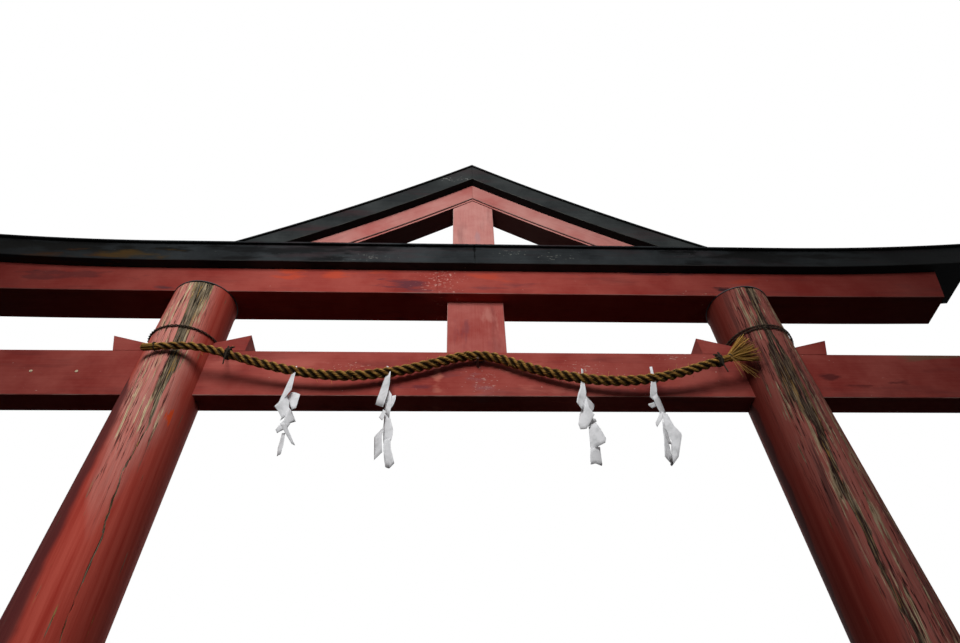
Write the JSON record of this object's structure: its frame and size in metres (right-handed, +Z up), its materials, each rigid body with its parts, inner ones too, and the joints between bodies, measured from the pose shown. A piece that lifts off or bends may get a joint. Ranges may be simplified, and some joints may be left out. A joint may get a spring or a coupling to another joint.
{
  "type": "torii gate",
  "caption": "Red and black timber torii gate with leaning round posts, wedged tie beam, curved lintels, a gable over them and a straw rope with paper streamers",
  "frame": {"origin": "middle of the left post's foot face, on the ground, left as seen from the front", "axes": "+X to the viewer's right along the gate's width, +Y through the gate away from the viewer, +Z up"},
  "size_m": [5.4635, 0.3708, 5.439],
  "materials": {
    "post_paint": "weathered red paint, worn through to bare wood in streaks",
    "red_paint": "faded matte red paint on planed timber",
    "black_paint": "matte black paint on planed timber",
    "bare_wood": "bare end grain",
    "dark_sheet": "dark weathered sheet",
    "straw": "twisted dry straw",
    "dark_cord": "dark twisted palm fibre",
    "iron": "dull forged iron",
    "white_paper": "matte white paper"
  },
  "bodies": {
    "root": {"left_post": "post_paint", "right_post": "post_paint", "left_post_cap": "dark_sheet", "right_post_cap": "dark_sheet", "tie_beam": "red_paint", "tie_beam_pegs": "bare_wood", "left_outer_wedge": "red_paint", "left_inner_wedge": "red_paint", "right_inner_wedge": "red_paint", "right_outer_wedge": "red_paint", "centre_strut": "red_paint", "left_lower_lintel": "red_paint", "right_lower_lintel": "red_paint", "left_upper_lintel": "black_paint", "right_upper_lintel": "black_paint", "left_roof_boards": "black_paint", "right_roof_boards": "black_paint", "left_gable_beam": "black_paint", "right_gable_beam": "black_paint", "left_gable_boards": "black_paint", "right_gable_boards": "black_paint", "left_gable_rafter": "red_paint", "right_gable_rafter": "red_paint", "left_rafter_strip": "red_paint", "right_rafter_strip": "red_paint", "gable_strut": "red_paint", "straw_rope": "straw", "rope_tip": "straw", "rope_tassel": "straw", "left_binding": "dark_cord", "right_binding": "dark_cord", "left_post_tie": "dark_cord", "right_post_tie": "dark_cord", "rope_nail": "iron", "paper_streamer_1": "white_paper", "paper_streamer_2": "white_paper", "paper_streamer_3": "white_paper", "paper_streamer_4": "white_paper"}
  },
  "joints": []
}
